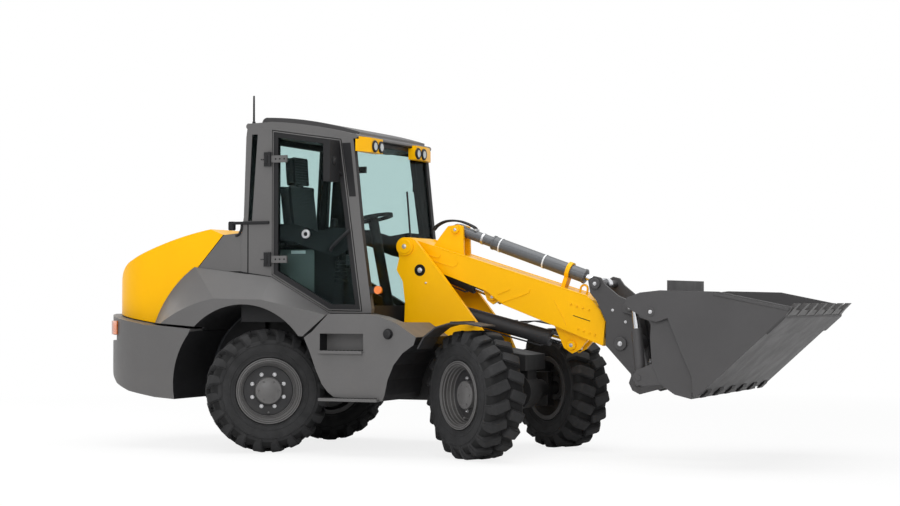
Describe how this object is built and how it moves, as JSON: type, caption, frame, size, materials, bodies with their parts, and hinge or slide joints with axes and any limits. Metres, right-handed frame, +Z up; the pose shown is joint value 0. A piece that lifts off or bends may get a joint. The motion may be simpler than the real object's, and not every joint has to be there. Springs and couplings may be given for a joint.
{
  "type": "telescopic handler",
  "caption": "Rigid-frame telescopic handler on steered lug tyres, with a cab, rear engine hood, central tower, extending boom and clam bucket.",
  "frame": {"origin": "on the ground, midway along and across the machine's overall box", "axes": "+X forward, +Y to the machine's left, +Z up"},
  "size_m": [6.32, 2.2952, 3.0397],
  "materials": {
    "yellow_paint": "gloss yellow paint",
    "grey_paint": "satin mid-grey paint",
    "dark_paint": "satin dark grey paint",
    "frame_black": "satin black paint",
    "rim_paint": "satin dark grey paint",
    "ram_paint": "silver-grey paint",
    "rod_chrome": "hard chrome",
    "engine_iron": "painted casting",
    "tyre_rubber": "black rubber",
    "black_plastic": "matt black plastic",
    "seat_cloth": "dark woven cloth",
    "clear_glass": "pale green tinted glass",
    "lamp_glass": "clear lamp lens",
    "signal_plastic": "orange lens plastic"
  },
  "bodies": {
    "knuckle_front_right": {"knuckle_front_right": "frame_black"},
    "wheel_front_right": {"tyre_front_right": "tyre_rubber", "rim_front_right": "rim_paint"},
    "knuckle_front_left": {"knuckle_front_left": "frame_black"},
    "wheel_front_left": {"tyre_front_left": "tyre_rubber", "rim_front_left": "rim_paint"},
    "knuckle_rear_right": {"knuckle_rear_right": "frame_black"},
    "wheel_rear_right": {"tyre_rear_right": "tyre_rubber", "rim_rear_right": "rim_paint"},
    "knuckle_rear_left": {"knuckle_rear_left": "frame_black"},
    "wheel_rear_left": {"tyre_rear_left": "tyre_rubber", "rim_rear_left": "rim_paint"},
    "door_right": {"door_right": "grey_paint", "door_right_glass": "clear_glass", "door_right_mirror": "black_plastic"},
    "door_left": {"door_left": "grey_paint", "door_left_glass": "clear_glass", "door_left_mirror": "black_plastic"},
    "chassis": {"chassis_frame": "frame_black", "boom_tower": "yellow_paint", "counterweight": "grey_paint", "rear_fenders": "grey_paint", "side_tanks": "grey_paint", "front_fenders": "black_plastic", "rear_deck": "grey_paint", "engine": "engine_iron", "cab_frame": "grey_paint", "cab_floor": "black_plastic", "roof": "grey_paint", "windscreen": "clear_glass", "rear_window": "clear_glass", "seat": "seat_cloth", "controls": "black_plastic", "lamp_boxes": "yellow_paint", "lamp_lenses": "lamp_glass", "signal_lamps": "signal_plastic", "front_axle": "frame_black", "rear_axle": "frame_black"},
    "boom": {"boom_outer": "yellow_paint", "tilt_tube": "ram_paint"},
    "inner_boom": {"boom_inner": "dark_paint", "tilt_sleeve": "ram_paint"},
    "tilt_rod": {"tilt_rod": "rod_chrome"},
    "coupler": {"coupler": "dark_paint", "bucket_back": "dark_paint", "clam_barrels": "dark_paint"},
    "clam": {"bucket_clam": "dark_paint"},
    "clam_rods": {"clam_rods": "rod_chrome"},
    "lift_barrel": {"lift_barrel": "dark_paint"},
    "lift_rod": {"lift_rod": "rod_chrome"},
    "comp_barrel": {"comp_barrel": "dark_paint"},
    "comp_rod": {"comp_rod": "rod_chrome"},
    "hood": {"hood": "yellow_paint"}
  },
  "joints": [
    {"name": "steer_front_right", "type": "hinge", "parent": "chassis", "child": "knuckle_front_right", "pos_m": [0.56, -0.605, 0.522], "axis": [0, 0, 1], "range_deg": [-4, 72]},
    {"name": "spin_front_right", "type": "hinge", "parent": "knuckle_front_right", "child": "wheel_front_right", "pos_m": [0.46773, -0.74179, 0.522], "axis": [0.5592, 0.829, 0], "continuous": true},
    {"name": "steer_front_left", "type": "hinge", "parent": "chassis", "child": "knuckle_front_left", "pos_m": [0.56, 0.605, 0.522], "axis": [0, 0, 1], "range_deg": [-4, 72]},
    {"name": "spin_front_left", "type": "hinge", "parent": "knuckle_front_left", "child": "wheel_front_left", "pos_m": [0.65227, 0.74179, 0.522], "axis": [0.5592, 0.829, 0], "continuous": true},
    {"name": "steer_rear_right", "type": "hinge", "parent": "chassis", "child": "knuckle_rear_right", "pos_m": [-1.54, -0.605, 0.522], "axis": [0, 0, 1], "range_deg": [-72, 4]},
    {"name": "spin_rear_right", "type": "hinge", "parent": "knuckle_rear_right", "child": "wheel_rear_right", "pos_m": [-1.44773, -0.74179, 0.522], "axis": [-0.5592, 0.829, 0], "continuous": true},
    {"name": "steer_rear_left", "type": "hinge", "parent": "chassis", "child": "knuckle_rear_left", "pos_m": [-1.54, 0.605, 0.522], "axis": [0, 0, 1], "range_deg": [-72, 4]},
    {"name": "spin_rear_left", "type": "hinge", "parent": "knuckle_rear_left", "child": "wheel_rear_left", "pos_m": [-1.63227, 0.74179, 0.522], "axis": [-0.5592, 0.829, 0], "continuous": true},
    {"name": "boom_lift", "type": "hinge", "parent": "chassis", "child": "boom", "pos_m": [-0.378, 0, 1.742], "axis": [0, -1, 0], "range_deg": [-3.5, 60]},
    {"name": "boom_extend", "type": "slide", "parent": "boom", "child": "inner_boom", "axis": [0.943, 0, -0.3329], "range_m": [0, 0.6]},
    {"name": "bucket_tilt", "type": "hinge", "parent": "inner_boom", "child": "coupler", "pos_m": [1.54, 0, 0.934], "axis": [0, 1, 0], "range_deg": [0, 87]},
    {"name": "clam_open", "type": "hinge", "parent": "coupler", "child": "clam", "pos_m": [2.023, 0, 1.197], "axis": [0, -1, 0], "range_deg": [0, 45]},
    {"name": "clam_rod_slide", "type": "slide", "parent": "coupler", "child": "clam_rods", "axis": [-0.0871, 0, 0.9962], "range_m": [-0.1358, 0]},
    {"name": "tilt_rod_slide", "type": "slide", "parent": "inner_boom", "child": "tilt_rod", "axis": [0.943, 0, -0.3329], "range_m": [0, 0.7336]},
    {"name": "lift_barrel_swing", "type": "hinge", "parent": "chassis", "child": "lift_barrel", "pos_m": [0.04, 0, 1.17], "axis": [0, -1, 0], "range_deg": [-4.97, 69.13]},
    {"name": "lift_rod_slide", "type": "slide", "parent": "lift_barrel", "child": "lift_rod", "axis": [0.9699, 0, -0.2434], "range_m": [-0.0418, 0.6841]},
    {"name": "comp_barrel_swing", "type": "hinge", "parent": "chassis", "child": "comp_barrel", "pos_m": [-0.243, 0, 1.54], "axis": [0, -1, 0], "range_deg": [-4.9, 67.79]},
    {"name": "comp_rod_slide", "type": "slide", "parent": "comp_barrel", "child": "comp_rod", "axis": [0.9334, 0, -0.3589], "range_m": [-0.0152, 0.2286]},
    {"name": "door_right_swing", "type": "hinge", "parent": "chassis", "child": "door_right", "pos_m": [-1.422, -0.765, 1.9], "axis": [0, 0, -1], "range_deg": [0, 88]},
    {"name": "door_left_swing", "type": "hinge", "parent": "chassis", "child": "door_left", "pos_m": [-1.422, 0.765, 1.9], "axis": [0, 0, 1], "range_deg": [0, 88]},
    {"name": "hood_lift", "type": "hinge", "parent": "chassis", "child": "hood", "pos_m": [-1.868, 0, 1.876], "axis": [0, 1, 0], "range_deg": [0, 50]}
  ],
  "couplings": [
    {"joint": "steer_front_left", "follows": "steer_front_right", "ratio": 1},
    {"joint": "steer_rear_right", "follows": "steer_front_right", "ratio": -1},
    {"joint": "steer_rear_left", "follows": "steer_front_right", "ratio": -1},
    {"joint": "clam_rod_slide", "follows": "clam_open", "m_per_rad": -0.1704},
    {"joint": "tilt_rod_slide", "follows": "bucket_tilt", "m_per_rad": 0.48183},
    {"joint": "lift_barrel_swing", "follows": "boom_lift", "ratio": 1.1355},
    {"joint": "lift_rod_slide", "follows": "boom_lift", "m_per_rad": 0.65136},
    {"joint": "comp_barrel_swing", "follows": "boom_lift", "ratio": 1.1131},
    {"joint": "comp_rod_slide", "follows": "boom_lift", "m_per_rad": 0.2164}
  ]
}
